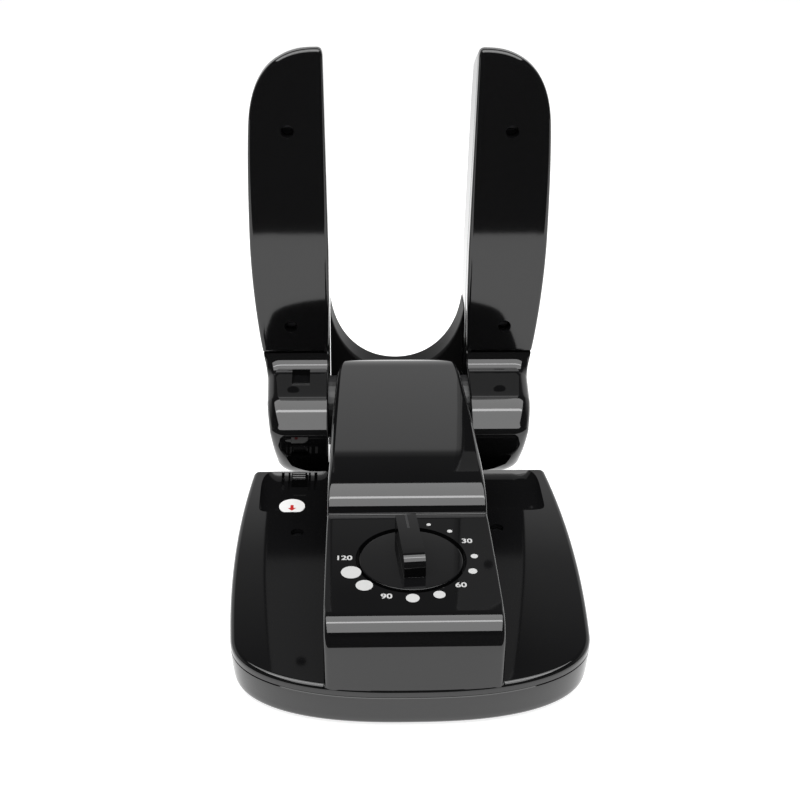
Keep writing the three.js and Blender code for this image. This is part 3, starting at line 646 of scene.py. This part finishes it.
def numeral(text, x, y):
    curve = bpy.data.curves.new("n" + text, "FONT")
    curve.body, curve.size, curve.offset, curve.extrude = text, 5.2 * MM, 0.0, 0.07 * MM
    curve.align_x, curve.align_y = "CENTER", "CENTER"
    obj = bpy.data.objects.new("n" + text, curve)
    bpy.context.scene.collection.objects.link(obj)
    bpy.context.view_layer.update()
    mesh = bpy.data.meshes.new_from_object(obj)
    bpy.data.objects.remove(obj)
    mesh.transform(Matrix.Diagonal((1.08, 1, 1, 1)))
    b = bmesh.new()
    for k, (dx, dy) in enumerate(((-0.13, -0.07), (0.13, -0.07), (-0.13, 0.07), (0.13, 0.07))):
        mesh.transform(Matrix.Translation((dx * MM, dy * MM, k * 0.004 * MM)))
        b.from_mesh(mesh)
        mesh.transform(Matrix.Translation((-dx * MM, -dy * MM, -k * 0.004 * MM)))
    b.to_mesh(mesh)
    b.free()
    tilt = math.atan2(2 * FALL, 82)
    spot = Matrix.Translation((x * MM, (y + SHIFT) * MM, panel_z(y) * MM))
    mesh.transform(spot @ Matrix.Rotation(tilt, 4, "X"))
    made = bpy.data.objects.new("scale_" + text, mesh)
    bpy.context.scene.collection.objects.link(made)
    piece(made, "scale_numeral_" + text, "base", "white_label", PRINT)


for text, x, y in (("30", 29.1, -74.4), ("60", 23.5, -111.1), ("90", -12.7, -119.4), ("120", -33, -88)):
    numeral(text, x, y)

# ---------------------------------------------------------------- round label and release button
label_at = Vector((-63, 18.4, WING - DISH - 0.05))
lean = Matrix.Rotation(math.radians(1.5), 3, "X")


def on_label(points, z0, z1, name, material):
    rings = [[tuple(label_at + lean @ Vector((x, y, z))) for x, y in points] for z in (z0, z1)]
    return piece(skin(name, rings), name, "base", "white_label", material)


circle = [(7.4 * math.cos(2 * math.pi * i / 96), 7.4 * math.sin(2 * math.pi * i / 96)) for i in range(96)]
disc = on_label(circle, 0.0, 0.6, "push_label", WHITE)
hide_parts("latch_label")
arrow = [(-0.9, 1.2), (-0.9, -1.8), (-2.4, -1.8), (0, -4.6), (2.4, -1.8), (0.9, -1.8), (0.9, 1.2)]
on_label(arrow, 0.58, 0.64, "push_arrow", RED)

button = block(-63.5, -55.5, 40, 47, 17.5, 25.4)
for i in (-1, 0, 1):
    button = combine(button, drum("x", 0.85, -63.2, -55.8, 43.5 + i * 2.3, 25.3, 32), "UNION")
button = combine(button, drum("z", 2, 11, 18, -59.5, 43.5, 32), "UNION")
piece(soften(button, 0.35, 34, 3), "latch_button_skin", "latch", "gloss_black", GLOSS, "latch_button")

# ---------------------------------------------------------------- stage
floor_mat, _, p = nodes_of("floor")
p.inputs["Base Color"].default_value = (0.55, 0.55, 0.55, 1)
p.inputs["Roughness"].default_value = 0.9
p.inputs["Specular IOR Level"].default_value = 0.0
p.inputs["Emission Color"].default_value = (1, 1, 1, 1)
p.inputs["Emission Strength"].default_value = 0.85
floor = make("floor", [(-1500, -400, -0.1), (1500, -400, -0.1), (1500, 3500, -0.1),
                       (-1500, 3500, -0.1)], [(0, 1, 2, 3)])
floor.data.materials.append(floor_mat)

world = bpy.data.worlds.new("studio")
bpy.context.scene.world = world
world.use_nodes = True
wt = world.node_tree
bg = wt.nodes["Background"]
co = wt.nodes.new("ShaderNodeTexCoord")
sep = wt.nodes.new("ShaderNodeSeparateXYZ")
wt.links.new(co.outputs["Generated"], sep.inputs[0])
ramp = wt.nodes.new("ShaderNodeValToRGB")
wt.links.new(sep.outputs["Z"], ramp.inputs[0])
el = ramp.color_ramp.elements
el[0].position, el[0].color = 0.0, (0.9, 0.9, 0.9, 1)
el[1].position, el[1].color = 1.0, (0.02, 0.02, 0.02, 1)
for pos, v in ((0.40, 0.8), (0.52, 0.6), (0.56, 0.22), (0.62, 0.05)):
    e = el.new(pos)
    e.color = (v, v, v, 1)
back = wt.nodes.new("ShaderNodeMapRange")
back.inputs["From Min"].default_value, back.inputs["From Max"].default_value = -0.1, 0.5
back.inputs["To Min"].default_value, back.inputs["To Max"].default_value = 0.06, 1.0
wt.links.new(sep.outputs["Y"], back.inputs["Value"])
mul = wt.nodes.new("ShaderNodeMix")
mul.data_type, mul.blend_type = "RGBA", "MULTIPLY"
mul.inputs[0].default_value = 1.0
wt.links.new(ramp.outputs["Color"], mul.inputs[6])
wt.links.new(back.outputs["Result"], mul.inputs[7])
wt.links.new(mul.outputs[2], bg.inputs["Color"])
bg.inputs["Strength"].default_value = 1.0


def softbox(name, x, y, z, width, depth, radiance, aim=(0, 0, 0)):
    light = bpy.data.lights.new(name, "AREA")
    light.shape, light.size, light.size_y = "RECTANGLE", width, depth
    light.energy = radiance * math.pi * width * depth
    obj = bpy.data.objects.new(name, light)
    bpy.context.scene.collection.objects.link(obj)
    obj.location = (x, y, z)
    obj.rotation_euler = (Vector((x, y, z)) - Vector(aim)).to_track_quat("Z", "Y").to_euler()
    return obj


softbox("overhead", 0, -0.31, 0.98, 1.5, 1.28, 4.2, (0, -0.31, 0))
softbox("lamp_line", 0, -0.16, 0.9, 1.3, 0.09, 8.0, (0, -0.16, 0))

cam_data = bpy.data.cameras.new("camera")
cam = bpy.data.objects.new("camera", cam_data)
bpy.context.scene.collection.objects.link(cam)
F, E, AZ, ROLL = 1400.0, math.radians(28), math.radians(2.39), math.radians(0.80)
cam_data.sensor_width, cam_data.lens = 36, 36 * F / 800
fwd = Vector((math.sin(AZ) * math.cos(E), math.cos(AZ) * math.cos(E), -math.sin(E)))
right = Vector((math.cos(AZ), -math.sin(AZ), 0))
up = right.cross(fwd)
R2 = right * math.cos(ROLL) + up * math.sin(ROLL)
U2 = -right * math.sin(ROLL) + up * math.cos(ROLL)
rot = Matrix((R2, U2, -fwd)).transposed().to_4x4()
cam.matrix_world = Matrix.Translation((-0.03032, (-717.14 + 53 + SHIFT) * MM, (428.25 + 24) * MM)) @ rot
cam_data.clip_start, cam_data.clip_end = 0.01, 50
bpy.context.scene.camera = cam
bpy.context.scene.view_settings.view_transform = "Standard"
bpy.context.scene.view_settings.look = "None"
